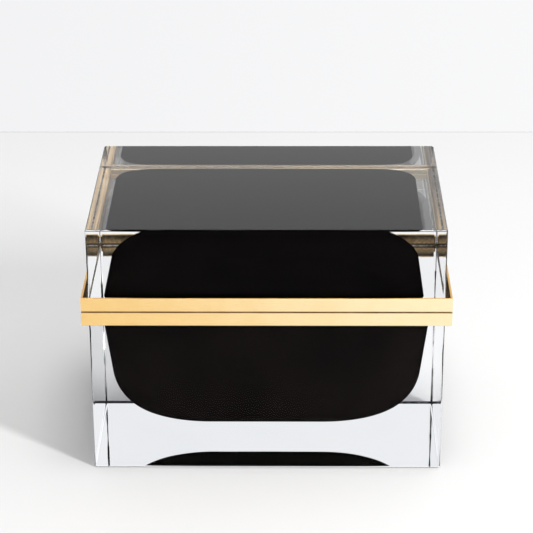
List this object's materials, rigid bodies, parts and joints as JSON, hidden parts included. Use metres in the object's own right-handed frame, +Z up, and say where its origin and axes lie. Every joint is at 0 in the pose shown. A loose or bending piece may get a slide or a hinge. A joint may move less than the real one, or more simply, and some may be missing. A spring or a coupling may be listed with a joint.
{
  "type": "hinged glass box",
  "caption": "Small casket of thick clear glass over a dark glass lining, with gilt brass frames round lid and base and a back hinge with a stop.",
  "frame": {"origin": "middle of the flat face that the box stands on", "axes": "+Z up, +X to the right as seen from the front, the front faces -Y and the hinge is at +Y"},
  "size_m": [0.166, 0.1166, 0.12],
  "materials": {
    "clear_glass": "polished",
    "dark_glass": "polished",
    "gilt_brass": "fine brushed, gold plated",
    "bedding_cement": "matt"
  },
  "bodies": {
    "base": {"base_block": "clear_glass", "base_lining": "dark_glass", "base_cement": "bedding_cement", "base_frame_front": "gilt_brass", "base_frame_right": "gilt_brass", "base_frame_back": "gilt_brass", "base_frame_left": "gilt_brass", "base_hinge_leaf": "gilt_brass", "hinge_pin": "gilt_brass"},
    "lid": {"lid_block": "clear_glass", "lid_lining": "dark_glass", "lid_cement": "bedding_cement", "lid_frame_front": "gilt_brass", "lid_frame_right": "gilt_brass", "lid_frame_back": "gilt_brass", "lid_frame_left": "gilt_brass", "lid_hinge_leaf": "gilt_brass"}
  },
  "joints": [
    {"name": "lid_hinge", "type": "hinge", "parent": "base", "child": "lid", "pos_m": [0, 0.057, 0.0813], "axis": [-1, 0, 0], "range_deg": [0, 102]}
  ]
}
